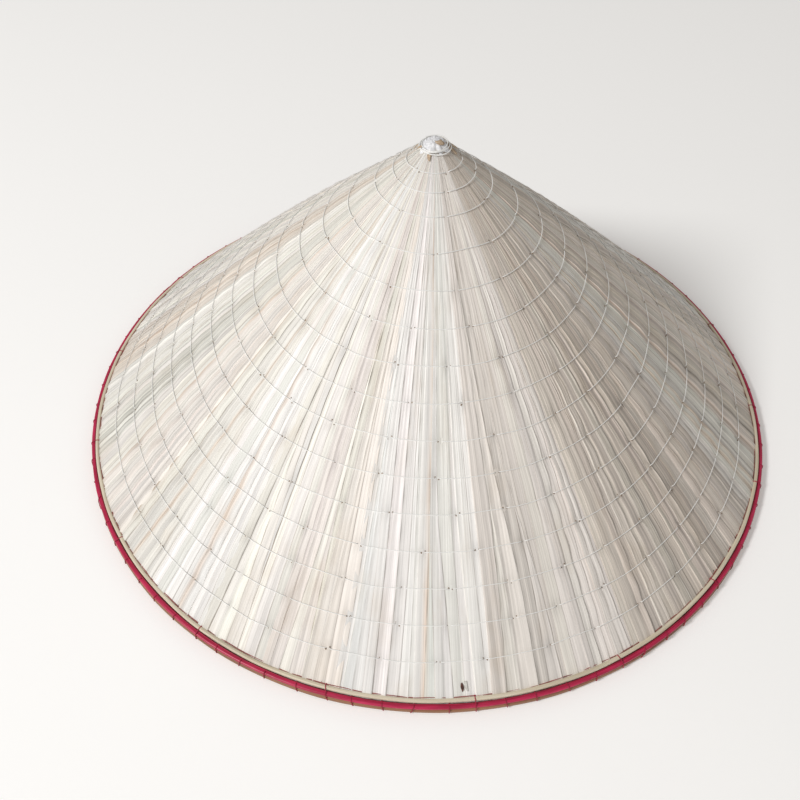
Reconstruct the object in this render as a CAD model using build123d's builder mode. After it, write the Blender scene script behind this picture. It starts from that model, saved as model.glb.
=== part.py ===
from build123d import *
import math
import os

# Conical palm-leaf hat: two layers of dried leaves sewn to fifteen bamboo hoops, with a bound rim.
# Millimetres, +Z up. The origin is the centre of the ring that the hat stands on.

# ---- Driving dimensions ----
RIM_RADIUS = 205.0        # outermost radius, over the rim lashing
WALL_FOOT_RADIUS = 204.7  # where the wall's outer face would reach the ground
WALL_HEIGHT = 191.5       # where the wall's outer face would reach the axis
WALL_BULGE = 3.0          # how far the slanted wall bows outward at mid height

LEAF_THICKNESS = 0.4
LEAF_CLEARANCE = 0.1      # between the two layers of leaves
LEAF_SLIT = 0.25          # between neighbouring leaves of one layer
OUTER_LEAVES = 32
INNER_LEAVES = 24
LEAF_FOOT = 0.0200        # fraction of the slant where the leaves end, just above the rim hoop
LEAF_TOP = 0.9850         # fraction of the slant where the leaves meet the tied tips

HOOP_ROWS = 15
FIRST_ROW = 0.093         # fraction of the slant up to the lowest row
ROW_STEP = 0.0641         # fraction of the slant between rows
TOP_ROWS = (0.904, 0.937)  # the two rows under the apex are closer together
HOOP_DIAMETER = 2.2
STITCH_DIAMETER = 0.5
CLEARANCE = 0.03          # between pieces that are sewn tight to each other

RIM_HOOP_OUTER = 204.35
RIM_HOOP_WIDTH = 4.2
RIM_HOOP_HEIGHT = 3.0
RIM_HOOP_CHAMFER = 0.7
RED_BAND_OUTER = 204.15
RED_BAND_WIDTH = 1.9
RED_BAND_HEIGHT = 2.0
RED_BAND_CHAMFER = 0.5
SPLINT_DIAMETER = 2.1
SPLINT_ROW = 0.0255       # fraction of the slant where the two rim splints clamp the leaves
EDGE_THREAD_DIAMETER = 0.5
EDGE_THREAD_ROW = 0.0340
LASHING_DIAMETER = 0.6
LASHINGS = 84
LASHING_START = 1.6       # where a lashing leaves the leaves, above the splint's middle
LASHING_TURN = 1.1        # where it turns over the splint
LASHING_SLACK = 0.1
LASHING_BEND = 0.8        # bend radius of the thread where it turns over an edge

APEX_WRAP_TURNS = 5
APEX_WRAP_DIAMETER = 1.1
APEX_WRAP_FOOT = 0.966    # fraction of the slant at the lowest turn
APEX_WRAP_STEP = 0.0052
APEX_TIP_RADIUS = 2.1
APEX_TIP_HEIGHT = 3.4     # above the leaves' top edge
APEX_TIP_DEPTH = 6.0      # below it
APEX_TIP_TAPER = 18.0
APEX_TIP_ROUNDING = 0.6

STRAP_LOOP_ROW = 4        # the hoop, counted from the rim, that the strap loops hang from
STRAP_LOOP_LENGTH = 13.0
STRAP_LOOP_WIDTH = 6.0
STRAP_LOOP_DIAMETER = 1.2
STRAP_LOOP_ROUNDNESS = 0.95

# ---- The wall's curve, worked out from the driving dimensions ----
SLANT = math.hypot(WALL_FOOT_RADIUS, WALL_HEIGHT)
WALL_RADIUS = (SLANT**2 / 4 + WALL_BULGE**2) / (2 * WALL_BULGE)
WALL_OUTWARD = (WALL_HEIGHT / SLANT, WALL_FOOT_RADIUS / SLANT)
CURVE_CENTRE = (
    WALL_FOOT_RADIUS / 2 - WALL_OUTWARD[0] * (WALL_RADIUS - WALL_BULGE),
    WALL_HEIGHT / 2 - WALL_OUTWARD[1] * (WALL_RADIUS - WALL_BULGE),
)
FOOT_ANGLE = math.atan2(-CURVE_CENTRE[1], WALL_FOOT_RADIUS - CURVE_CENTRE[0])
APEX_ANGLE = math.atan2(WALL_HEIGHT - CURVE_CENTRE[1], -CURVE_CENTRE[0])
INNER_FACE = 2 * LEAF_THICKNESS + LEAF_CLEARANCE


def wall_angle(fraction):
    """The wall normal's angle above the horizontal, at a fraction of the slant up from the foot."""
    return FOOT_ANGLE + fraction * (APEX_ANGLE - FOOT_ANGLE)


def wall_point(fraction, depth=0.0):
    """The (radius, height) at a fraction of the slant, depth inside the wall's outer face."""
    angle = wall_angle(fraction)
    reach = WALL_RADIUS - depth
    return (CURVE_CENTRE[0] + reach * math.cos(angle), CURVE_CENTRE[1] + reach * math.sin(angle))


def keep(built, name):
    """Label a finished sub-part and write it to its own file."""
    built.label = name
    export_step(built, f"parts/{name}.step")


def leaf_layer(outer_depth, leaves, first_joint):
    """One layer of leaves: a thin bowed cone, slit into separate leaves that run from rim to apex."""
    inner_depth = outer_depth + LEAF_THICKNESS
    middle = (LEAF_FOOT + LEAF_TOP) / 2
    with BuildPart() as layer:
        with BuildSketch(Plane.XZ):
            with BuildLine():
                outside = ThreePointArc(*[wall_point(f, outer_depth) for f in (LEAF_FOOT, middle, LEAF_TOP)])
                inside = ThreePointArc(*[wall_point(f, inner_depth) for f in (LEAF_FOOT, middle, LEAF_TOP)])
                Line(outside @ 0, inside @ 0)
                Line(outside @ 1, inside @ 1)
            make_face()
        revolve(axis=Axis.Z)
        with PolarLocations(0, leaves, start_angle=first_joint):
            Box(
                RIM_RADIUS,
                LEAF_SLIT,
                WALL_HEIGHT,
                align=(Align.MIN, Align.CENTER, Align.MIN),
                mode=Mode.SUBTRACT,
            )
    return layer.part


def ring(centre, diameter):
    """A round ring about the axis, with its section's centre at (radius, height)."""
    with BuildPart() as hoop:
        with BuildSketch(Plane.XZ):
            with Locations(centre):
                Circle(diameter / 2)
        revolve(axis=Axis.Z)
    return hoop.part


def flat_ring(outer_radius, width, foot, height, edge):
    """A rectangular ring about the axis with chamfered edges, standing on the height foot."""
    with BuildPart() as band:
        with BuildSketch(Plane.XZ):
            with Locations((outer_radius - width / 2, foot + height / 2)):
                section = Rectangle(width, height)
            chamfer(section.vertices(), edge)
        revolve(axis=Axis.Z)
    return band.part


os.makedirs("parts", exist_ok=True)

# ---- Leaves: the joints of the inner layer fall between those of the outer layer ----
outer_leaves = leaf_layer(0.0, OUTER_LEAVES, 0.0)
keep(outer_leaves, "outer_leaves")

inner_leaves = leaf_layer(LEAF_THICKNESS + LEAF_CLEARANCE, INNER_LEAVES, 180 / OUTER_LEAVES / 2)
keep(inner_leaves, "inner_leaves")

# ---- Bamboo hoops inside, and a row of thread outside over each of them ----
evenly_spaced = HOOP_ROWS - len(TOP_ROWS)
rows = [FIRST_ROW + ROW_STEP * i for i in range(evenly_spaced)] + list(TOP_ROWS)
hoop_depth = INNER_FACE + CLEARANCE + HOOP_DIAMETER / 2
stitch_depth = -CLEARANCE - STITCH_DIAMETER / 2
for number, row in enumerate(rows, start=1):
    keep(ring(wall_point(row, hoop_depth), HOOP_DIAMETER), f"hoop_{number:02d}")
    keep(ring(wall_point(row, stitch_depth), STITCH_DIAMETER), f"stitch_row_{number:02d}")

# ---- Rim: the hoop that the hat stands on, with a flat underside ----
rim_hoop = flat_ring(RIM_HOOP_OUTER, RIM_HOOP_WIDTH, 0.0, RIM_HOOP_HEIGHT, RIM_HOOP_CHAMFER)
keep(rim_hoop, "rim_hoop")

band_foot = RIM_HOOP_HEIGHT + CLEARANCE
rim_red_band = flat_ring(RED_BAND_OUTER, RED_BAND_WIDTH, band_foot, RED_BAND_HEIGHT, RED_BAND_CHAMFER)
keep(rim_red_band, "rim_red_band")

# ---- Rim: two splints clamp the leaf ends, with a thread along the outer one ----
splint_centre = wall_point(SPLINT_ROW, -CLEARANCE - SPLINT_DIAMETER / 2)
keep(ring(splint_centre, SPLINT_DIAMETER), "rim_outer_splint")

inner_splint_centre = wall_point(SPLINT_ROW, INNER_FACE + CLEARANCE + SPLINT_DIAMETER / 2)
keep(ring(inner_splint_centre, SPLINT_DIAMETER), "rim_inner_splint")

edge_thread_centre = wall_point(EDGE_THREAD_ROW, -CLEARANCE - EDGE_THREAD_DIAMETER / 2)
keep(ring(edge_thread_centre, EDGE_THREAD_DIAMETER), "rim_edge_thread")

# ---- Rim: separate thread stitches over the splint, the red band and the hoop ----
half_lashing = LASHING_DIAMETER / 2
over_splint = SPLINT_DIAMETER + LASHING_DIAMETER / 2 + LASHING_SLACK
lashing_line = RIM_RADIUS - half_lashing
with BuildPart() as lashing:
    with BuildLine(Plane.XZ) as lashing_path:
        FilletPolyline(
            wall_point(SPLINT_ROW + LASHING_START / SLANT, -CLEARANCE - half_lashing),
            wall_point(SPLINT_ROW + LASHING_TURN / SLANT, -over_splint),
            (lashing_line, band_foot + RED_BAND_HEIGHT),
            (lashing_line, CLEARANCE),
            radius=LASHING_BEND,
        )
    with BuildSketch(Plane(origin=lashing_path.line @ 0, z_dir=lashing_path.line % 0)):
        Circle(half_lashing)
    sweep()

with BuildPart() as rim_lashing:
    with PolarLocations(0, LASHINGS):
        add(lashing.part)
keep(rim_lashing.part, "rim_lashing")

# ---- Apex: turns of thread round the cone, and the tied leaf tips that close it ----
with BuildPart() as apex_thread_wrap:
    for turn in range(APEX_WRAP_TURNS):
        turn_row = APEX_WRAP_FOOT + APEX_WRAP_STEP * turn
        add(ring(wall_point(turn_row, -CLEARANCE - APEX_WRAP_DIAMETER / 2), APEX_WRAP_DIAMETER))
keep(apex_thread_wrap.part, "apex_thread_wrap")

leaf_top_height = wall_point(LEAF_TOP)[1]
with BuildPart() as apex_leaf_tips:
    with BuildSketch(Plane.XY.offset(leaf_top_height - APEX_TIP_DEPTH)):
        Circle(APEX_TIP_RADIUS)
    extrude(amount=APEX_TIP_DEPTH)
    with BuildSketch(apex_leaf_tips.faces().sort_by(Axis.Z)[-1]):
        Circle(APEX_TIP_RADIUS)
    extrude(amount=APEX_TIP_HEIGHT, taper=APEX_TIP_TAPER)
    fillet(apex_leaf_tips.edges().sort_by(Axis.Z)[-1], APEX_TIP_ROUNDING)
keep(apex_leaf_tips.part, "apex_leaf_tips")

# ---- Strap loops: a thread loop hangs from one hoop at each side, over the wearer's ears ----
loop_row = rows[STRAP_LOOP_ROW - 1]
loop_depth = INNER_FACE + HOOP_DIAMETER + 2 * CLEARANCE + STRAP_LOOP_DIAMETER / 2
loop_radius, loop_height = wall_point(loop_row, loop_depth)
loop_angle = wall_angle(loop_row)
loop_plane = Plane(
    origin=(loop_radius, 0, loop_height),
    x_dir=(0, 1, 0),
    z_dir=(math.cos(loop_angle), 0, math.sin(loop_angle)),
)
half_loop = STRAP_LOOP_WIDTH / 2
with BuildPart() as strap_loops:
    with BuildLine(loop_plane) as loop_path:
        FilletPolyline(
            (-half_loop, 0),
            (-half_loop, -STRAP_LOOP_LENGTH),
            (half_loop, -STRAP_LOOP_LENGTH),
            (half_loop, 0),
            radius=half_loop * STRAP_LOOP_ROUNDNESS,
        )
    with BuildSketch(Plane(origin=loop_path.line @ 0, z_dir=loop_path.line % 0)):
        Circle(STRAP_LOOP_DIAMETER / 2)
    sweep()
    mirror(about=Plane.YZ)
keep(strap_loops.part, "strap_loops")
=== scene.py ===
import bpy
import math
import numpy as np
from mathutils import Matrix, Vector


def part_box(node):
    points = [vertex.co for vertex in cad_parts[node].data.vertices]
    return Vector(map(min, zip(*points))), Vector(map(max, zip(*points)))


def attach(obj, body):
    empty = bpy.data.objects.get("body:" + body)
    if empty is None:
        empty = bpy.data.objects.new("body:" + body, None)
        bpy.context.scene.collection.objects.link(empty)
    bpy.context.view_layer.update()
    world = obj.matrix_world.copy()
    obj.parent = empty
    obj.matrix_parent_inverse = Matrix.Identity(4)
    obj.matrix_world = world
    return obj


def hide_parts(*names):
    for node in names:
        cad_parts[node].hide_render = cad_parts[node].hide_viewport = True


# Looks of a conical palm-leaf hat. Metres, +Z up, the hat stands on z = 0 and its front faces -Y.

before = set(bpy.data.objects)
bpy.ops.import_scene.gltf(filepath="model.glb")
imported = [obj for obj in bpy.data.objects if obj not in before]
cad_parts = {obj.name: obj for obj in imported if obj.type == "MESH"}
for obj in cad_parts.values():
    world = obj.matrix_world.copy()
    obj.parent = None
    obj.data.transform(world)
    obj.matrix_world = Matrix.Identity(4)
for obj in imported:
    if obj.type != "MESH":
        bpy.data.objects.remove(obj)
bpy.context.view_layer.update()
MM = 0.001
scene = bpy.context.scene
rng = np.random.default_rng(16)

# ---- Sizes read from the frame ----
LEAF_PIECES = 8
STITCH_ROWS = [n for n in sorted(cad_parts) if n.startswith("stitch_row")]
HOOPS = [n for n in sorted(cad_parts) if n.startswith("hoop_")]


def ring_section(node):
    """A round ring's (radius of its centre line, height, section radius)."""
    low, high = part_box(node)
    half = (high.z - low.z) / 2
    return high.x - half, low.z + half, half


def circle_through(a, b, c):
    """Centre and radius of the circle through three (radius, height) points."""
    (ax, ay), (bx, by), (cx, cy) = a, b, c
    twice = 2 * (ax * (by - cy) + bx * (cy - ay) + cx * (ay - by))
    sa, sb, sc = ax * ax + ay * ay, bx * bx + by * by, cx * cx + cy * cy
    x = (sa * (by - cy) + sb * (cy - ay) + sc * (ay - by)) / twice
    y = (sa * (cx - bx) + sb * (ax - cx) + sc * (bx - ax)) / twice
    return x, y, math.hypot(ax - x, ay - y)


# The wall's outer face is the bowed cone just under the rings of thread.
row_sections = [ring_section(n) for n in STITCH_ROWS]
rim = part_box("rim_lashing")[1].x
low_row, middle_row, top_row = (row_sections[i][:2] for i in (0, len(row_sections) // 2, -1))
curve_x, curve_z, thread_curve = circle_through(low_row, middle_row, top_row)
THREAD_GAP = 0.03 * MM
wall_radius = thread_curve - row_sections[0][2] - THREAD_GAP
foot_angle = math.asin(-curve_z / wall_radius)
apex_angle = math.acos(-curve_x / wall_radius)
slant = wall_radius * (apex_angle - foot_angle)
row_up = np.array(
    [(math.atan2(z - curve_z, r - curve_x) - foot_angle) / (apex_angle - foot_angle)
     for r, z, _ in row_sections]
)


def section_point(up, lift=0.0):
    """(radius, height) at a fraction of the slant up from the foot, lift outside the wall's outer face."""
    angle = foot_angle + np.asarray(up) * (apex_angle - foot_angle)
    reach = wall_radius + lift
    return curve_x + reach * np.cos(angle), curve_z + reach * np.sin(angle)


def wall(turn, up, lift=0.0):
    """Points on the wall at an angle about the axis, a fraction of the slant and a lift off the face."""
    r, z = section_point(up, lift)
    return np.stack(np.broadcast_arrays(r * np.cos(turn), r * np.sin(turn), z), axis=-1)


# ---- Mesh helpers ----
def grid_faces(rows, columns, close_columns=False, first=0):
    """Quads of a grid of points numbered row by row."""
    across = columns if close_columns else columns - 1
    r, c = np.meshgrid(np.arange(rows - 1), np.arange(across), indexing="ij")
    right = (c + 1) % columns
    here, above = r * columns, (r + 1) * columns
    quads = np.stack([here + c, here + right, above + right, above + c], -1)
    return first + quads.reshape(-1, 4)


def make_mesh(name, points, faces, material, run=None, colour=None):
    """A mesh object from points and quads; run is each point's (along, across) place in metres."""
    mesh = bpy.data.meshes.new(name)
    mesh.from_pydata(np.asarray(points).tolist(), [], [list(map(int, f)) for f in faces])
    mesh.polygons.foreach_set("use_smooth", [True] * len(mesh.polygons))
    if run is not None:
        layer = mesh.attributes.new("run", "FLOAT_VECTOR", "POINT")
        padded = np.zeros((len(points), 3))
        padded[:, : run.shape[1]] = run
        layer.data.foreach_set("vector", padded.ravel())
    if colour is not None:
        layer = mesh.attributes.new("tone", "FLOAT_COLOR", "POINT")
        full = np.ones((len(points), 4))
        full[:, :3] = colour
        layer.data.foreach_set("color", full.ravel())
    mesh.validate()
    mesh.materials.append(material)
    piece = bpy.data.objects.new(name, mesh)
    scene.collection.objects.link(piece)
    return piece


def finish_piece(piece, slot, *nodes):
    """Every piece rides on the hat's one body and takes the place of its CAD nodes."""
    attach(piece, "root")
    if nodes:
        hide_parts(*nodes)
    return piece


def tube(path, radius, sides=6, closed=False):
    """Points, quads and (along, across) of a tube round a path."""
    path = np.asarray(path, float)
    count = len(path)
    if closed:
        ahead = np.roll(path, -1, 0) - np.roll(path, 1, 0)
    else:
        ahead = np.gradient(path, axis=0)
    ahead /= np.linalg.norm(ahead, axis=1, keepdims=True)
    hint = np.where(np.abs(ahead[:, 2:3]) > 0.9, [[1.0, 0.0, 0.0]], [[0.0, 0.0, 1.0]])
    side = np.cross(ahead, hint)
    side /= np.linalg.norm(side, axis=1, keepdims=True)
    above = np.cross(side, ahead)
    around = np.linspace(0, 2 * math.pi, sides, endpoint=False)
    radius = np.broadcast_to(np.asarray(radius, float), (count,))[:, None, None]
    ring = side[:, None] * np.cos(around)[None, :, None] + above[:, None] * np.sin(around)[None, :, None]
    points = (path[:, None] + ring * radius).reshape(-1, 3)
    faces = grid_faces(count, sides, close_columns=True)
    if closed:
        last = (count - 1) * sides + np.arange(sides)
        following = (np.arange(sides) + 1) % sides
        seam = np.stack([last, (count - 1) * sides + following, following, np.arange(sides)], -1)
        faces = np.concatenate([faces, seam])
    along = np.concatenate([[0], np.cumsum(np.linalg.norm(np.diff(path, axis=0), axis=1))])
    run = np.stack(np.broadcast_arrays(along[:, None], around[None] * radius[:, :, 0]), -1).reshape(-1, 2)
    caps = [] if closed else [list(range(sides))[::-1], list(range((count - 1) * sides, count * sides))]
    return points, [list(f) for f in faces] + caps, run


def join_parts(parts):
    """One set of points, faces and run from several."""
    points, faces, runs, first = [], [], [], 0
    for more, quads, run in parts:
        points.append(more)
        runs.append(run)
        faces += [[first + int(i) for i in q] for q in quads]
        first += len(more)
    return np.concatenate(points), faces, np.concatenate(runs)


def rounded(points, passes=2, closed=True):
    """Cuts the corners of a path, again and again, into a smooth one."""
    points = np.asarray(points, float)
    for _ in range(passes):
        after = np.roll(points, -1, 0) if closed else points[1:]
        before = points if closed else points[:-1]
        pairs = np.stack([0.75 * before + 0.25 * after, 0.25 * before + 0.75 * after], 1)
        cut = pairs.reshape(-1, points.shape[1])
        points = cut if closed else np.concatenate([points[:1], cut, points[-1:]])
    return points


def swell(turn, waves, size, draws):
    """A smooth closed wave round the hat: the sum of a few whole-numbered sines."""
    total = np.zeros_like(turn)
    for k in waves:
        wave = draws.normal() * np.sin(k * turn + draws.uniform(0, 2 * math.pi))
        total = total + wave / math.sqrt(len(waves))
    return size * total


# ---- Material helpers ----
class Shader:
    """A Principled material and short ways to add the nodes that drive it."""

    def __init__(self, name):
        self.material = bpy.data.materials.new(name)
        self.material.use_nodes = True
        self.nodes = self.material.node_tree.nodes
        self.link = self.material.node_tree.links.new
        self.surface = self.nodes["Principled BSDF"]

    def add(self, kind, **settings):
        node = self.nodes.new(kind)
        for key, value in settings.items():
            setattr(node, key, value)
        return node

    def attribute(self, name, output="Vector"):
        return self.add("ShaderNodeAttribute", attribute_name=name).outputs[output]

    def scaled(self, vector, scale):
        node = self.add("ShaderNodeMapping")
        node.inputs["Scale"].default_value = scale
        self.link(vector, node.inputs["Vector"])
        return node.outputs["Vector"]

    def noise(self, vector, scale, detail=4.0, roughness=0.55):
        node = self.add("ShaderNodeTexNoise")
        node.inputs["Scale"].default_value = scale
        node.inputs["Detail"].default_value = detail
        node.inputs["Roughness"].default_value = roughness
        self.link(vector, node.inputs["Vector"])
        return node.outputs["Fac"]

    def ramp(self, value, low, high, start=0.0, end=1.0):
        node = self.add("ShaderNodeMapRange")
        for socket, number in (("From Min", start), ("From Max", end), ("To Min", low), ("To Max", high)):
            node.inputs[socket].default_value = number
        self.link(value, node.inputs["Value"])
        return node.outputs["Result"]

    def mix(self, factor, first, second, blend="MIX"):
        node = self.add("ShaderNodeMix", data_type="RGBA", blend_type=blend)
        inputs = node.inputs
        for socket, value in ((inputs["Factor"], factor), (inputs["A"], first), (inputs["B"], second)):
            target = socket
            if socket.name != "Factor":
                target = next(s for s in node.inputs if s.name == socket.name and s.type == "RGBA")
            if isinstance(value, (tuple, float)):
                target.default_value = value
            else:
                self.link(value, target)
        return next(s for s in node.outputs if s.type == "RGBA")

    def bump(self, height, distance, strength=1.0, normal=None):
        node = self.add("ShaderNodeBump")
        node.inputs["Strength"].default_value = strength
        node.inputs["Distance"].default_value = distance
        self.link(height, node.inputs["Height"])
        if normal is not None:
            self.link(normal, node.inputs["Normal"])
        return node.outputs["Normal"]

    def finish(self, colour=None, roughness=None, normal=None, **fixed):
        for socket, value in (("Base Color", colour), ("Roughness", roughness), ("Normal", normal)):
            if value is None:
                continue
            if isinstance(value, (tuple, float)):
                self.surface.inputs[socket].default_value = value
            else:
                self.link(value, self.surface.inputs[socket])
        for socket, value in fixed.items():
            self.surface.inputs[socket.replace("_", " ")].default_value = value
        return self.material


def grey(level):
    return (level, level, level, 1.0)


def leaf_material(name, stain, gloss):
    """Dried palm leaf: each pleat's own tone, which also carries painted light and shade (shade in the
    creases and dimples, highlights on the ridges, lighter towards the apex), fine veins along it, faint
    stains and a satin face.
    """
    s = Shader(name)
    tone = s.attribute("tone", "Color")
    run = s.attribute("run")
    veins = s.noise(s.scaled(run, (14.0, 1600.0, 1.0)), 1.0, 5.0, 0.65)
    strands = s.noise(s.scaled(run, (5.0, 420.0, 1.0)), 1.0, 3.0)
    stains = s.noise(s.scaled(run, (26.0, 60.0, 1.0)), 1.0, 5.0)
    strength = s.ramp(tone, 1.0, 0.38, 0.60, 0.84)
    vein_shade = s.mix(s.ramp(veins, 0.0, 1.0, 0.32, 0.68), grey(0.66), grey(1.20))
    strand_shade = s.mix(s.ramp(strands, 0.0, 1.0, 0.34, 0.66), grey(0.62), grey(1.22))
    colour = s.mix(strength, tone, vein_shade, "MULTIPLY")
    colour = s.mix(strength, colour, strand_shade, "MULTIPLY")
    colour = s.mix(s.ramp(stains, 0.0, stain, 0.52, 0.78), colour, (0.56, 0.43, 0.29, 1.0))
    rough = s.ramp(veins, gloss - 0.08, gloss + 0.12)
    normal = s.bump(strands, 0.55 * MM, 0.8)
    normal = s.bump(veins, 0.14 * MM, 0.8, normal)
    normal = s.bump(stains, 0.5 * MM, 0.5, normal)
    return s.finish(colour, rough, normal, Specular_IOR_Level=0.45)


def bamboo_material(name, light, dark, gloss, streak=900.0):
    """Split bamboo: straight fibres along the strip, darker flecks, a waxy skin."""
    s = Shader(name)
    run = s.attribute("run")
    fibres = s.noise(s.scaled(run, (18.0, streak, 1.0)), 1.0, 4.0, 0.6)
    patches = s.noise(s.scaled(run, (22.0, 160.0, 1.0)), 1.0, 3.0)
    colour = s.mix(s.ramp(fibres, 0.0, 1.0, 0.32, 0.68), dark, light)
    colour = s.mix(s.ramp(patches, 0.0, 0.5, 0.5, 0.8), colour, tuple(c * 0.6 for c in dark[:3]) + (1.0,))
    normal = s.bump(fibres, 0.15 * MM, 0.8)
    return s.finish(colour, s.ramp(patches, gloss, gloss + 0.2), normal)


def thread_material(name, light, dark, gloss):
    """Thread: a fine twist along its length, with small changes of tone."""
    s = Shader(name)
    run = s.attribute("run")
    twist = s.noise(s.scaled(run, (2600.0, 1400.0, 1.0)), 1.0, 2.0)
    fade = s.noise(s.scaled(run, (90.0, 1.0, 1.0)), 1.0, 2.0)
    colour = s.mix(s.ramp(fade, 0.0, 1.0, 0.3, 0.7), dark, light)
    normal = s.bump(twist, 0.06 * MM, 0.8)
    return s.finish(colour, s.ramp(twist, gloss - 0.05, gloss + 0.15), normal)


def band_material():
    """Crimson strip: glossy, slightly uneven, paler and darker in patches."""
    s = Shader("red_band")
    run = s.attribute("run")
    wear = s.noise(s.scaled(run, (60.0, 700.0, 1.0)), 1.0, 4.0)
    ripple = s.noise(s.scaled(run, (220.0, 300.0, 1.0)), 1.0, 3.0)
    colour = s.mix(s.ramp(wear, 0.0, 1.0, 0.35, 0.7), (0.36, 0.008, 0.045, 1.0), (0.60, 0.022, 0.10, 1.0))
    normal = s.bump(ripple, 0.25 * MM, 0.7)
    return s.finish(colour, s.ramp(wear, 0.28, 0.48), normal)


def spot_material(name, light, dark, gloss):
    """A small lump, such as a knot, a glue bead or a torn edge, mottled all over."""
    s = Shader(name)
    place = s.add("ShaderNodeTexCoord").outputs["Object"]
    mottle = s.noise(s.scaled(place, (700.0, 700.0, 700.0)), 1.0, 4.0)
    colour = s.mix(s.ramp(mottle, 0.0, 1.0, 0.3, 0.7), dark, light)
    normal = s.bump(mottle, 0.2 * MM, 0.8)
    return s.finish(colour, s.ramp(mottle, gloss - 0.1, gloss + 0.1), normal)


outer_leaf_look = leaf_material("outer_leaf", 0.30, 0.42)
inner_leaf_look = leaf_material("inner_leaf", 0.40, 0.50)
hoop_look = bamboo_material("hoop_bamboo", (0.62, 0.42, 0.19, 1.0), (0.42, 0.25, 0.10, 1.0), 0.35)
# The rim hoop is painted a darker brown than the other bamboo hoops: the bamboo's own colour and painted
# shade for its place under the rim.
rim_colour_and_shade_look = bamboo_material("rim_bamboo", (0.40, 0.20, 0.10, 1.0), (0.20, 0.085, 0.04, 1.0), 0.40)
splint_look = bamboo_material("splint_bamboo", (0.78, 0.71, 0.57, 1.0), (0.60, 0.51, 0.37, 1.0), 0.38)
white_thread_look = thread_material("white_thread", (0.93, 0.93, 0.92, 1.0), (0.80, 0.80, 0.79, 1.0), 0.30)
red_thread_look = thread_material("red_thread", (0.50, 0.015, 0.06, 1.0), (0.24, 0.008, 0.03, 1.0), 0.55)
# The edge thread's dark red-brown is its own colour and painted shade where it lies at the leaves' edge.
edge_thread_and_shade_look = thread_material("edge_thread", (0.42, 0.12, 0.10, 1.0), (0.16, 0.035, 0.03, 1.0), 0.6)
hole_look = spot_material("puncture", (0.42, 0.31, 0.22, 1.0), (0.12, 0.075, 0.05, 1.0), 0.8)
# Near black: painted shade for the torn hole's opening and for the feet of the creases at the rim.
tear_and_crease_shade_look = spot_material("tear", (0.16, 0.06, 0.045, 1.0), (0.035, 0.02, 0.015, 1.0), 0.8)
glue_look = spot_material("apex_glue", (0.90, 0.905, 0.93, 1.0), (0.72, 0.73, 0.77, 1.0), 0.6)
loop_look = spot_material("strap_loop", (0.80, 0.79, 0.76, 1.0), (0.55, 0.53, 0.48, 1.0), 0.55)
tip_look = spot_material("leaf_tip", (0.66, 0.53, 0.39, 1.0), (0.36, 0.24, 0.15, 1.0), 0.6)
red_band_look = band_material()

# ---- Where the needle went through: every row has its own uneven pitch ----
STITCH_PITCH = 27 * MM
HOLE_SPREAD = 0.9 * MM
stitch_sites = []
for radius, _, _ in row_sections:
    count = max(5, round(2 * math.pi * radius / STITCH_PITCH))
    shift = rng.uniform(0, 1)
    places = np.arange(count) + shift + rng.uniform(-0.12, 0.12, count)
    stitch_sites.append(np.sort(places * 2 * math.pi / count))
site_turn = np.concatenate(stitch_sites)
site_up = np.concatenate([np.full(len(s), u) for s, u in zip(stitch_sites, row_up)])

# ---- Leaves ----
leaf_low, leaf_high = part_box("outer_leaves")
LEAF_FOOT_UP = (
    (math.asin((leaf_low.z - curve_z) / wall_radius) - foot_angle) / (apex_angle - foot_angle) + 0.001
)
LEAF_TOP_UP = (math.asin((leaf_high.z - curve_z) / wall_radius) - foot_angle) / (apex_angle - foot_angle)
STATIONS_PER_ROW = 8
SHINGLE = 0.30 * MM      # how far a leaf stands off the one beside it
PLEAT = 0.68 * MM        # how far a pleat's edges rise and fall
LEAF_LAP = 1.08          # width of a leaf against its share of the turn
RIDGE_RISE = 0.24 * MM   # extra height of a folded edge
LEAF_TONES = {
    "w": (0.87, 0.86, 0.84),
    "c": (0.85, 0.825, 0.775),
    "b": (0.84, 0.79, 0.745),
    "t": (0.77, 0.70, 0.63),
    "g": (0.77, 0.75, 0.70),
    "d": (0.69, 0.62, 0.55),
}
# The darker tones, d above all, are gathered on the leaves at the right (+X): leaf colour and painted shade
# for that side.
OUTER_TONES_WITH_RIGHT_SHADE = "tdgtbdgtwccwbgctcgbcwcbwwbbtdtgd"
INNER_TONES = "ctbgcbtcgcbwctgbctcbgctb"
# Painted shade along the creases of the pleats.
CREASE_SHADE_TONE = np.array((0.27, 0.19, 0.13))
# Painted highlight along the raised ridges of the pleats.
RIDGE_HIGHLIGHT_TONE = np.array((0.93, 0.90, 0.82))
STREAK_TONE = np.array((0.66, 0.40, 0.22))


def stations():
    """Fractions of the slant where a leaf has points, closest together beside the stitches."""
    marks = np.concatenate([[LEAF_FOOT_UP], row_up, [LEAF_TOP_UP]])
    spacing = (1 - np.cos(np.linspace(0, math.pi, STATIONS_PER_ROW + 1))) / 2
    inside = [a + (b - a) * spacing[:-1] for a, b in zip(marks[:-1], marks[1:])]
    return np.concatenate(inside + [[LEAF_TOP_UP]])


def between_rows(up):
    """0 at a row of stitches and 1 half way to the next."""
    marks = np.concatenate([[0.0], row_up, [1.0]])
    index = np.clip(np.searchsorted(marks, up, side="right") - 1, 0, len(marks) - 2)
    share = (up - marks[index]) / (marks[index + 1] - marks[index])
    return np.sin(math.pi * share) ** 2


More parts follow.
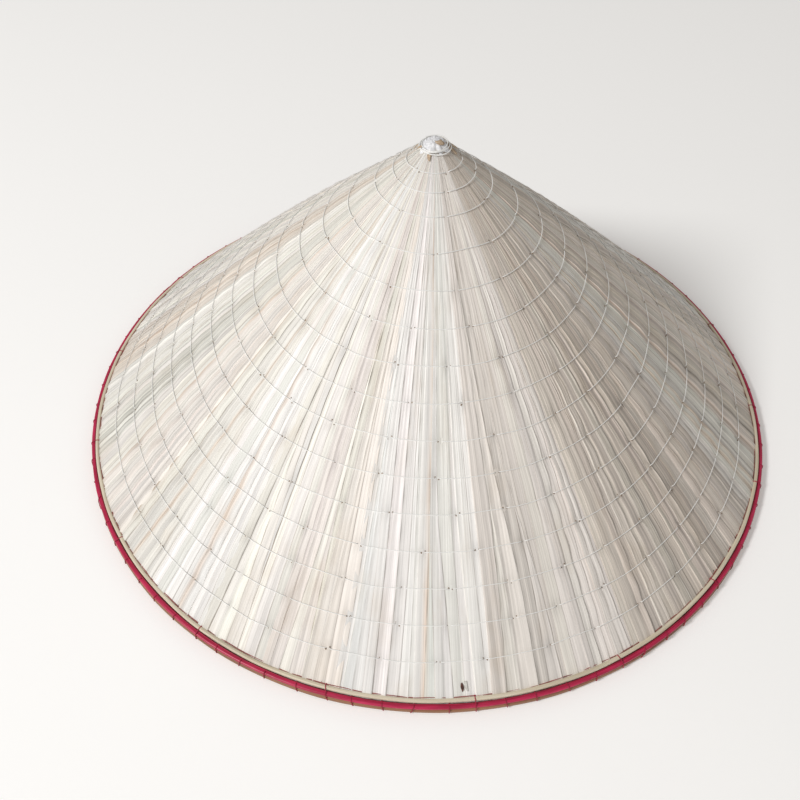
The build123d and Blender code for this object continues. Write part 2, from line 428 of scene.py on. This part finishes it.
def pleat_edges(up, draws):
    """How the leaf's width is shared between its pleats at each station; some run out on the way up."""
    count = draws.integers(7, 11)
    share = draws.uniform(0.65, 1.35, count) * np.ones((len(up), 1))
    for j in range(1, count - 1):
        kind = draws.uniform()
        if kind < 0.42:
            share[:, j] *= np.clip(1 - up / draws.uniform(0.3, 1.0), 0.02, 1)
        elif kind < 0.54:
            share[:, j] *= np.clip((up - draws.uniform(0.0, 0.4)) * 2, 0.02, 1)
    edges = np.cumsum(share, 1) / share.sum(1, keepdims=True)
    return np.concatenate([np.zeros((len(up), 1)), edges], 1)


def wander(up, draws, waves=(1.2, 2.7, 4.9)):
    """A smooth uneven line along the leaf, about -1 to 1."""
    total = sum(
        np.sin(2 * math.pi * w * up + draws.uniform(0, 2 * math.pi)) * draws.uniform(0.4, 1) for w in waves
    )
    return total / len(waves)


def leaf(middle, width, depth, thickness, out, tint, draws):
    """One leaf: a thin closed sheet of pleats from rim to apex. out is 1 for the outer layer, -1 for the
    inner. Its left edge lies on the leaf beside it, so it stands off by the shingle's height there."""
    up = stations()
    edges = pleat_edges(up, draws)
    strips = edges.shape[1] - 1
    radius = section_point(up)[0]
    breadth = width * radius
    line = np.minimum(0.42 * MM / breadth, 0.012 + 0 * up)
    step = np.minimum(0.05 * MM / breadth, 0.002)
    columns, levels, tones = [], [], []
    crease_shade_here = [draws.uniform(0.15, 1.0) * (0.75 + 0.6 * wander(up, draws)) for _ in range(strips + 1)]
    ridge_here = [draws.uniform() < 0.34 for _ in range(strips + 1)]
    streak_here = [draws.uniform() < 0.05 for _ in range(strips + 1)]
    rise = between_rows(up)
    fade = np.clip(radius / rim * 2.5, 0.05, 1)
    for j in range(strips):
        left, right = edges[:, j], edges[:, j + 1]
        gap = right - left
        near = np.minimum(line, 0.3 * gap)
        places = (left + np.minimum(step, 0.1 * gap), left + near, (left + right) / 2, right - near,
                  right - np.minimum(step, 0.1 * gap))
        start, end = draws.uniform(0, PLEAT, 2)
        crown = draws.uniform(-0.12, 0.25) * PLEAT
        heights = (start, start * 0.9 + end * 0.1 + crown / 2, (start + end) / 2 + crown,
                   start * 0.1 + end * 0.9 + crown / 2, end)
        pucker = draws.uniform(0.1, 0.55) * MM * rise * (1 + 0.5 * wander(up, draws))
        tone = tint * (1 + draws.normal(0, 0.045 / tint[1])) * (1 + draws.normal(0, 0.008, 3))
        for k in range(5):
            beside = j if k < 2 else j + 1
            columns.append(places[k])
            colour = np.tile(tone, (len(up), 1))
            fold = 0.0
            if streak_here[beside] and k != 2:
                strength = 0.5 * np.clip(0.6 + 0.6 * wander(up, draws), 0, 1)[:, None]
                colour = colour * (1 - strength) + STREAK_TONE * strength
            # Painted light: the leaf is painted lighter towards the apex, where its steep pleats fall into
            # shade.
            colour = colour * (1 + 0.12 * up[:, None])
            # A folded edge gets a painted line: painted shade along a crease, a painted highlight along a
            # raised ridge.
            if k in (0, 4):
                painted_line_tone = RIDGE_HIGHLIGHT_TONE if ridge_here[beside] else CREASE_SHADE_TONE
                strength = 0.54 * np.clip(crease_shade_here[beside], 0, 1)[:, None]
                colour = colour * (1 - strength) + painted_line_tone * strength
                fold = RIDGE_RISE if ridge_here[beside] else 0.0
            levels.append((heights[k] + fold) * (0.42 + 0.58 * rise) * fade + 0.6 * pucker * fade)
            tones.append(colour)
    across = np.stack(columns, 1)
    lift = np.stack(levels, 1) * out
    colour = np.stack(tones, 1)
    slide = wander(up, draws, (0.7, 1.6))[:, None] * 0.9 * MM / rim
    turn = middle + (across - 0.5) * width + slide
    ups = np.broadcast_to(up[:, None], turn.shape)
    lap = depth + out * SHINGLE * (1 - across) * fade[:, None]
    lift = lift + lap
    near_x = (turn[..., None] - site_turn + math.pi) % (2 * math.pi) - math.pi
    near_x = near_x * radius[:, None, None]
    near_y = (ups[..., None] - site_up) * slant
    pull = np.exp(-(near_x**2 / (3.0 * MM) ** 2 + near_y**2 / (4.5 * MM) ** 2)).sum(-1) * fade[:, None]
    lift = lift - out * 0.45 * MM * np.clip(pull, 0, 1)
    # Painted shade: the leaf is painted darker in the dimples round the needle holes.
    colour = colour * (1 - 0.10 * np.clip(pull, 0, 1)[..., None])
    face = wall(turn, ups, lift).reshape(-1, 3)
    back = wall(turn, ups, lap - out * thickness).reshape(-1, 3)
    rows, count = turn.shape
    front_faces = grid_faces(rows, count)
    back_faces = grid_faces(rows, count, first=len(face))[:, ::-1]
    total = len(face)
    rim_index = np.concatenate([
        np.arange(count), np.arange(1, rows) * count + count - 1,
        (rows - 1) * count + np.arange(count - 2, -1, -1), np.arange(rows - 2, 0, -1) * count,
    ])
    after = np.roll(rim_index, -1)
    sides = np.stack([rim_index, rim_index + total, after + total, after], -1)
    faces = np.concatenate([front_faces, back_faces, sides])
    if out < 0:
        faces = faces[:, ::-1]
    arc = turn * rim
    run = np.stack([ups * slant, arc, np.full(turn.shape, middle * 3.0)], -1).reshape(-1, 3)
    colours = np.tile(colour.reshape(-1, 3), (2, 1))
    return np.concatenate([face, back]), faces, np.concatenate([run, run]), colours


def leaf_layer(node, leaf_tones, shift, depth, thickness, out, look, slot, draws):
    """All the leaves of one layer, a few to a piece; leaf_tones has a letter for each leaf, from +X."""
    leaves = len(leaf_tones)
    per_piece = leaves // LEAF_PIECES
    for piece_number in range(LEAF_PIECES):
        parts, colours = [], []
        for n in range(per_piece):
            k = piece_number * per_piece + n
            tint = np.array(LEAF_TONES[leaf_tones[k]]) * (1 + draws.normal(0, 0.015))
            middle = (k + shift) * 2 * math.pi / leaves
            width = 2 * math.pi / leaves * LEAF_LAP
            points, faces, run, colour = leaf(middle, width, depth, thickness, out, tint, draws)
            parts.append((points, faces, run))
            colours.append(colour)
        points, faces, run = join_parts(parts)
        piece = make_mesh(f"{node}_{piece_number + 1}", points, faces, look, run, np.concatenate(colours))
        finish_piece(piece, slot, node)


leaf_layer("outer_leaves", OUTER_TONES_WITH_RIGHT_SHADE, 0.5, 0.0, 0.22 * MM, 1, outer_leaf_look, "outer_leaf",
           np.random.default_rng(32))
leaf_layer("inner_leaves", INNER_TONES, 0.25, -0.95 * MM, 0.15 * MM, -1, inner_leaf_look, "inner_leaf",
           np.random.default_rng(24))

# ---- Thread rows: long stitches outside, and a short loop round the hoop inside at each needle hole ----
THREAD_RADIUS = 0.22 * MM
THREAD_LIFT = 0.72 * MM
STITCH_STEP = 1.3 * MM
hoop_sections = [ring_section(n) for n in HOOPS]


def stitch(start, end, up, radius, draws):
    """One stitch: it comes out of a hole, lies along the leaves and goes in again."""
    count = max(6, int((end - start) * radius / STITCH_STEP))
    share = np.linspace(0, 1, count)
    drift = draws.normal(0, 0.35) * MM / slant * np.sin(math.pi * share)
    stray = drift + draws.normal(0, 0.03, count) * MM / slant
    tight = np.clip(np.minimum(share, 1 - share) * (end - start) * radius / (0.5 * MM), 0, 1)
    lift = THREAD_LIFT * (2 * tight - 1) - 0.05 * MM
    return tube(wall(start + (end - start) * share, up + stray, lift), THREAD_RADIUS)


def hoop_loop(turn, up, hoop):
    """The short stitch inside: from one hole round the hoop to the other."""
    hoop_radius, hoop_height, thick = hoop
    swing = np.linspace(-0.62, 0.62, 9) * math.pi
    normal = foot_angle + up * (apex_angle - foot_angle) + math.pi
    reach = thick + 0.28 * MM
    r = hoop_radius + reach * np.cos(normal + swing)
    z = hoop_height + reach * np.sin(normal + swing)
    turns = turn + np.linspace(-1, 1, 9) * HOLE_SPREAD / hoop_radius
    return tube(np.stack([r * np.cos(turns), r * np.sin(turns), z], -1), THREAD_RADIUS)


# (share of the hole's width, lift in mm) from its outer edge to its middle
HOLE_RIM = ((1.0, -0.1), (0.9, 0.16), (0.45, 0.24), (0.02, 0.16))
HOLE_SIZE = 0.34 * MM
HOLES_SEEN = 0.85


def puncture(turn, up, draws, size, tall=1.0, proud=0.0):
    """A torn needle hole, dark in the middle; tall stretches it along the leaf. The same speck, stretched,
    also makes the dark wedges of painted shade at the feet of the creases and the dark patch of painted
    shade in the torn hole.
    """
    corners = 9
    around = np.linspace(0, 2 * math.pi, corners, endpoint=False)
    wide = size * draws.uniform(0.6, 1.4)
    reach = wide * draws.uniform(0.6, 1.35, corners)
    radius = section_point(up)[0]
    rings = []
    for scale, lift in HOLE_RIM:
        turns = turn + reach * scale * np.cos(around) / radius
        ups = up + reach * scale * tall * np.sin(around) / slant
        rings.append(wall(turns, ups, lift * MM + proud))
    points = np.concatenate(rings)
    run = points[:, :2]
    return points, grid_faces(4, corners, close_columns=True), run


thread_draws = np.random.default_rng(5)
holes = []
for name, section, up, sites, hoop in zip(STITCH_ROWS, row_sections, row_up, stitch_sites, hoop_sections):
    radius = section[0]
    parts = []
    gap = HOLE_SPREAD / radius
    following = np.append(sites[1:], sites[0] + 2 * math.pi)
    for here, there in zip(sites, following):
        slip = thread_draws.normal(0, 0.5) * MM / slant
        parts.append(stitch(here + gap * 0.25, there - gap * 0.25, up, radius, thread_draws))
        parts.append(hoop_loop(here, up, hoop))
        for side in (-1, 1):
            if thread_draws.uniform() < HOLES_SEEN:
                holes.append(puncture(here + side * gap, up + side * slip, thread_draws, HOLE_SIZE))
    points, faces, run = join_parts(parts)
    finish_piece(make_mesh(name.replace("stitch_row", "thread_row"), points, faces, white_thread_look, run),
                 "white_thread", name)
points, faces, run = join_parts(holes)
finish_piece(make_mesh("needle_holes", points, faces, hole_look, run), "outer_leaf")

# ---- Dark marks: small dark wedges of painted shade where the pleat creases meet the rim, and one larger torn hole with its flap at the front, its dark patch painted shade for the opening ----
TEAR_TURN = -math.pi / 2 + 0.115
TEAR_UP = 0.047
TEAR_SIZE = 0.80 * MM
CREASE_FOOT_SHADE_SIZE = 0.30 * MM
CREASE_FOOT_SHADE_STRETCH = 3.2
tear_and_crease_shade_marks = []
# Each wedge is a dark speck of painted shade where a crease meets the rim.
turn = 0.0
while turn < 2 * math.pi:
    up = LEAF_FOOT_UP + 0.012 + thread_draws.uniform(0, 0.004)
    tear_and_crease_shade_marks.append(puncture(turn, up, thread_draws, CREASE_FOOT_SHADE_SIZE, CREASE_FOOT_SHADE_STRETCH, 0.18 * MM))
    turn += thread_draws.uniform(8, 26) * MM / rim
# The torn hole's dark patch is painted shade for its opening.
tear_and_crease_shade_marks.append(puncture(TEAR_TURN, TEAR_UP, thread_draws, TEAR_SIZE, 2.4, 0.6 * MM))
points, faces, run = join_parts(tear_and_crease_shade_marks)
finish_piece(make_mesh("leaf_tear_and_crease_shade", points, faces, tear_and_crease_shade_look, run), "outer_leaf")


# ---- Rings of split bamboo ----
def bamboo_ring(name, section, shape, look, slot, node, draws, uneven=0.12 * MM, joint=None):
    """A strip bent into a ring; shape lists its section's (outward, up) points. Its ends overlap at the
    joint."""
    radius, height, _ = section
    count = max(96, int(2 * math.pi * radius / (1.8 * MM)))
    overlap = 22 * MM / radius
    start = draws.uniform(0, 2 * math.pi) if joint is None else joint
    turn = start + np.linspace(0, 2 * math.pi + overlap, count)
    share = np.linspace(0, 1, count)
    ends = np.clip(np.minimum(share, 1 - share) * (2 * math.pi * radius) / (14 * MM), 0.35, 1)
    shape = np.asarray(shape)
    wave_out = swell(turn, (3, 7, 13, 29), uneven, draws)
    wave_up = swell(turn, (4, 9, 17), uneven, draws)
    fat = ends * (1 + swell(turn, (11, 23, 41), 0.03, draws))
    out = radius + wave_out[:, None] + shape[None, :, 0] * fat[:, None]
    z = height + wave_up[:, None] + shape[None, :, 1] * fat[:, None]
    points = np.stack([out * np.cos(turn)[:, None], out * np.sin(turn)[:, None], z], -1).reshape(-1, 3)
    sides = len(shape)
    faces = [list(f) for f in grid_faces(count, sides, close_columns=True)]
    faces += [list(range(sides))[::-1], list(range((count - 1) * sides, count * sides))]
    edge = np.concatenate([[0], np.cumsum(np.linalg.norm(np.diff(shape, axis=0), axis=1))])
    run = np.stack(np.broadcast_arrays((turn * radius)[:, None], edge[None]), -1).reshape(-1, 2)
    piece = make_mesh(name, points, faces, look, run)
    return finish_piece(piece, slot, node)


def rounded_section(width, height, power=3.0, corners=16):
    """A strip's section: a rectangle with soft corners."""
    around = np.linspace(0, 2 * math.pi, corners, endpoint=False)
    c, s = np.cos(around), np.sin(around)
    return np.stack([
        np.sign(c) * np.abs(c) ** (2 / power) * width / 2,
        np.sign(s) * np.abs(s) ** (2 / power) * height / 2,
    ], -1)


ring_draws = np.random.default_rng(7)
for name, section in zip(HOOPS, hoop_sections):
    size = 2 * section[2]
    bamboo_ring(f"bamboo_{name}", section, rounded_section(size, size, 2.4, 12), hoop_look, "hoop_bamboo",
                name, ring_draws, 0.06 * MM)

RIM_HOOP_WIDTH = 4.2 * MM
RED_BAND_WIDTH = 2.7 * MM
for node, width, look, slot, power, joint in (
    ("rim_hoop", RIM_HOOP_WIDTH, rim_colour_and_shade_look, "rim_bamboo", 4.0, 1.9),
    ("rim_red_band", RED_BAND_WIDTH, red_band_look, "red_band", 2.6, 2.6),
):
    low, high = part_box(node)
    middle = (high.x - width / 2, (low.z + high.z) / 2, None)
    bamboo_ring(f"{node}_strip", middle, rounded_section(width, high.z - low.z, power), look, slot, node,
                ring_draws, 0.05 * MM, joint)
gap_shade_turn = np.linspace(0, 2 * math.pi, 720, endpoint=False)

# A thin dark red tube in the red thread's finish lies in the gap between the red band and the outer splint:
# painted shade for that crevice.
GAP_SHADE_INSET = 1.95 * MM
GAP_SHADE_RISE = 0.05 * MM
GAP_SHADE_STRAY = 0.10 * MM
GAP_SHADE_RADIUS = 0.33 * MM
band_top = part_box("rim_red_band")[1]
gap_shade_r = band_top.x - GAP_SHADE_INSET + swell(gap_shade_turn, (17, 31, 53), GAP_SHADE_STRAY, ring_draws)
gap_shade_z = band_top.z + GAP_SHADE_RISE + swell(gap_shade_turn, (13, 29, 61), GAP_SHADE_STRAY, ring_draws)
gap_shade_path = np.stack([gap_shade_r * np.cos(gap_shade_turn), gap_shade_r * np.sin(gap_shade_turn), gap_shade_z], -1)
points, faces, run = tube(gap_shade_path, GAP_SHADE_RADIUS, 6, closed=True)
gap_shade_mesh = make_mesh("rim_gap_shade_tube", points, faces, red_thread_look, run)
finish_piece(gap_shade_mesh, "red_thread", "rim_red_band")
for node, joint in (("rim_outer_splint", 2.2), ("rim_inner_splint", 4.4)):
    section = ring_section(node)
    size = 2 * section[2]
    bamboo_ring(f"{node}_strip", section, rounded_section(size, size, 2.6), splint_look, "splint_bamboo",
                node, ring_draws, 0.10 * MM, joint)

# ---- Rim: red stitches round the band and hoop, some over the splint, and the thread above the splint ----
LASHINGS = 84
LASH_RADIUS = 0.24 * MM
splint_r, splint_z, splint_half = ring_section("rim_outer_splint")
inner_r, inner_z, inner_half = ring_section("rim_inner_splint")
hoop_low, hoop_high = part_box("rim_hoop")
splint_up = (math.atan2(splint_z - curve_z, splint_r - curve_x) - foot_angle) / (apex_angle - foot_angle)
tilt = foot_angle + splint_up * (apex_angle - foot_angle)
above_splint = splint_up + (splint_half + 0.75 * MM) / slant
puncture_out = section_point(above_splint, 0.1 * MM)
puncture_in = section_point(above_splint, -1.3 * MM)
clear = LASH_RADIUS + 0.02 * MM
over = splint_half + clear
OVER_SPLINT = (
    puncture_out,
    (splint_r + over * math.cos(tilt + 0.9), splint_z + over * math.sin(tilt + 0.9)),
    (splint_r + over * math.cos(tilt), splint_z + over * math.sin(tilt)),
)
UNDER_SPLINT = (
    (splint_r - splint_half * 1.3, splint_z - splint_half * 1.1),
    (band_top.x - RED_BAND_WIDTH * 0.7, band_top.z + clear),
)
ROUND_RIM = (
    (band_top.x + clear, band_top.z),
    (hoop_high.x + clear, hoop_high.z * 0.6),
    (hoop_high.x + clear * 0.3, hoop_low.z - clear * 0.3),
    (hoop_high.x - RIM_HOOP_WIDTH * 0.8, hoop_low.z - clear),
    (hoop_high.x - RIM_HOOP_WIDTH - clear, hoop_high.z * 0.5),
    (inner_r - inner_half - clear, inner_z),
    puncture_in,
)
LONG_LASHING = 5         # one lashing in this many crosses the splint
lash_paths = (rounded(UNDER_SPLINT + ROUND_RIM), rounded(OVER_SPLINT + ROUND_RIM))
lash_draws = np.random.default_rng(84)
parts = []
for k in range(LASHINGS):
    turn = (k + lash_draws.uniform(-0.12, 0.12)) * 2 * math.pi / LASHINGS
    lean = lash_draws.normal(0, 1.0) * MM / rim
    lash_path = lash_paths[k % LONG_LASHING == 0]
    drop = np.linspace(0, 2 * math.pi, len(lash_path), endpoint=False)
    turns = turn + lean * np.cos(drop)
    path = np.stack([lash_path[:, 0] * np.cos(turns), lash_path[:, 0] * np.sin(turns), lash_path[:, 1]], -1)
    parts.append(tube(path, LASH_RADIUS, 7, closed=True))
points, faces, run = join_parts(parts)
lashing_mesh = make_mesh("rim_lashing_thread", points, faces, red_thread_look, run)
finish_piece(lashing_mesh, "red_thread", "rim_lashing")

edge_r, edge_z, edge_half = ring_section("rim_edge_thread")
edge_up = (math.atan2(edge_z - curve_z, edge_r - curve_x) - foot_angle) / (apex_angle - foot_angle)
turn = np.linspace(0, 2 * math.pi, 900, endpoint=False)
edge_wave = swell(turn, (21, 42, 57, 84), 0.16 * MM, lash_draws) / slant
edge_lift = 0.50 * MM + swell(turn, (42, 63), 0.06 * MM, lash_draws)
edge_path = wall(turn, edge_up - 1.0 * MM / slant + edge_wave, edge_lift)
points, faces, run = tube(edge_path, edge_half * 1.1, 6, closed=True)
edge_mesh = make_mesh("rim_edge_thread_run", points, faces, edge_thread_and_shade_look, run)
finish_piece(edge_mesh, "red_thread", "rim_edge_thread")

# ---- Apex: a cap of glue, turns of thread and scraps of leaf over the tied tips ----
wrap_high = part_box("apex_thread_wrap")[1]
apex_draws = np.random.default_rng(3)
CAP_TURNS, CAP_RINGS = 90, 26
CAP_TOP = wrap_high.z + 0.4 * MM
CAP_FALL = 58.0          # how fast the dome drops, in metres per square metre of radius
turn = np.linspace(0, 2 * math.pi, CAP_TURNS, endpoint=False)
reach = wrap_high.x * (0.80 + swell(turn, (2, 3, 5, 8, 13), 0.12, apex_draws))
near_apex = np.linspace(1, 0.9, 40)
cap_rows = []
for share in np.linspace(0, 1, CAP_RINGS):
    radius = reach * share
    wall_height = np.interp(radius, *section_point(near_apex))
    dome = CAP_TOP - CAP_FALL * radius**2
    lumps = swell(turn, (4, 7, 11, 17), 0.26 * MM, apex_draws) * min(share * 3, 1)
    height = wall_height + (dome - wall_height + lumps) * (1 - share**5) + 0.15 * MM
    cap_rows.append(np.stack([radius * np.cos(turn), radius * np.sin(turn), height], -1))
points = np.concatenate(cap_rows[::-1])
faces = grid_faces(CAP_RINGS, CAP_TURNS, close_columns=True)
finish_piece(make_mesh("apex_glue_cap", points, faces, glue_look, points[:, :2]), "white_thread",
             "apex_thread_wrap")

coils = 3.4
count = 170
share = np.linspace(0, 1, count)
turn = share * coils * 2 * math.pi
coil_up = 0.9650 + 0.0120 * share + 0.0016 * np.sin(turn * 1.7 + 1)
lift = 1.05 * MM + 0.9 * MM * share + 0.15 * MM * np.sin(turn * 2.3)
points, faces, run = tube(wall(turn, coil_up, lift), 0.30 * MM, 7)
finish_piece(make_mesh("apex_thread_turns", points, faces, white_thread_look, run), "white_thread",
             "apex_thread_wrap")


def leaf_scrap(turn, up, length, width, lift, curl, draws):
    """A small strip of leaf that stands out near the apex, bent along its length."""
    along = np.linspace(0, 1, 9)
    across = np.linspace(-0.5, 0.5, 5)
    radius = section_point(up)[0]
    a, c = np.meshgrid(along, across, indexing="ij")
    taper = 1 - 0.75 * a**2
    ups = up - a * length / slant
    turns = turn + c * taper * width / radius + curl * a**2
    heights = lift + 1.2 * MM * a * (1 - a) + 0.5 * MM * (c**2) + 0.6 * MM * a**3 * draws.uniform(0, 1)
    face = wall(turns, ups, heights).reshape(-1, 3)
    back = wall(turns, ups, heights - 0.22 * MM).reshape(-1, 3)
    rows, columns = a.shape
    front = grid_faces(rows, columns)
    behind = grid_faces(rows, columns, first=len(face))[:, ::-1]
    edge = np.concatenate([np.arange(columns), np.arange(1, rows) * columns + columns - 1,
                           (rows - 1) * columns + np.arange(columns - 2, -1, -1),
                           np.arange(rows - 2, 0, -1) * columns])
    after = np.roll(edge, -1)
    sides = np.stack([edge, after, after + len(face), edge + len(face)], -1)
    points = np.concatenate([face, back])
    return points, np.concatenate([front[:, ::-1], behind[:, ::-1], sides]), points[:, :2]


scraps = [
    leaf_scrap(-1.05, 0.992, 3.0 * MM, 1.9 * MM, 1.7 * MM, 0.5, apex_draws),
    leaf_scrap(-1.95, 0.972, 4.2 * MM, 1.5 * MM, 0.5 * MM, 0.1, apex_draws),
    leaf_scrap(3.45, 0.974, 2.6 * MM, 1.2 * MM, 1.5 * MM, -0.1, apex_draws),
    leaf_scrap(2.95, 0.968, 3.0 * MM, 1.0 * MM, 1.2 * MM, 0.2, apex_draws),
    leaf_scrap(0.75, 0.985, 11.0 * MM, 2.2 * MM, 0.9 * MM, 0.05, apex_draws),
    leaf_scrap(0.30, 0.982, 9.0 * MM, 1.6 * MM, 0.9 * MM, 0.05, apex_draws),
    leaf_scrap(-0.12, 0.980, 8.0 * MM, 1.3 * MM, 0.9 * MM, -0.05, apex_draws),
    leaf_scrap(1.80, 0.973, 5.0 * MM, 2.0 * MM, 0.9 * MM, -0.15, apex_draws),
]
points, faces, run = join_parts(scraps)
finish_piece(make_mesh("apex_leaf_scraps", points, faces, tip_look, run), "leaf_tip", "apex_leaf_tips")
points, faces, run = leaf_scrap(TEAR_TURN + 0.009, 0.058, 5.0 * MM, 1.5 * MM, 0.75 * MM, 0.004, apex_draws)
finish_piece(make_mesh("torn_leaf_flap", points, faces, loop_look, run), "outer_leaf")

# ---- The strap loops keep their CAD shape and get their finish ----
loop_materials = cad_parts["strap_loops"].data.materials
loop_materials.clear()
loop_materials.append(loop_look)

# ---- Camera: 48 degrees above the front of the rim ----
VIEW_ELEVATION = math.radians(48.27)
VIEW_DISTANCE = 3.0 * rim
AIM = Vector((-0.0796, 0.0, 0.0028)) * rim
ROLL = math.radians(0.335)
camera = bpy.data.objects.new("camera", bpy.data.cameras.new("camera"))
camera.data.lens = 44.06
camera.data.clip_start = 0.01
camera.location = Vector((0, -math.cos(VIEW_ELEVATION), math.sin(VIEW_ELEVATION))) * VIEW_DISTANCE
look = (AIM - camera.location).to_track_quat("-Z", "Y").to_matrix().to_4x4()
camera.matrix_world = Matrix.Translation(camera.location) @ look @ Matrix.Rotation(ROLL, 4, "Z")
scene.collection.objects.link(camera)
scene.camera = camera

# ---- Floor and soft light ----
floor_look = Shader("floor")
floor_look.finish((0.93, 0.93, 0.93, 1.0), 0.9,
                  Emission_Color=(1.0, 1.0, 1.0, 1.0), Emission_Strength=0.16)
floor_half = 12.0
floor = make_mesh(
    "floor",
    [(-floor_half, -floor_half, -0.8 * MM), (floor_half, -floor_half, -0.8 * MM),
     (floor_half, floor_half, -0.8 * MM), (-floor_half, floor_half, -0.8 * MM)],
    [(0, 1, 2, 3)],
    floor_look.material,
)


def area_light(name, place, aim, size, power, colour=(1.0, 1.0, 1.0)):
    lamp = bpy.data.lights.new(name, "AREA")
    lamp.shape = "DISK"
    lamp.size = size
    lamp.energy = power
    lamp.color = colour
    light = bpy.data.objects.new(name, lamp)
    light.location = place
    light.rotation_euler = (Vector(aim) - Vector(place)).to_track_quat("-Z", "Y").to_euler()
    scene.collection.objects.link(light)


area_light("key", (-1.65, -1.28, 1.80), (0, 0, 0.08), 0.6, 45.5, (1.0, 0.99, 0.975))
area_light("fill", (1.7, -1.2, 1.5), (0, 0, 0.08), 1.6, 1.5, (1.0, 0.95, 0.88))
world = bpy.data.worlds.new("studio")
world.use_nodes = True
world.node_tree.nodes["Background"].inputs["Color"].default_value = (1.0, 0.965, 0.915, 1.0)
world.node_tree.nodes["Background"].inputs["Strength"].default_value = 0.37
scene.world = world
scene.view_settings.view_transform = "Standard"
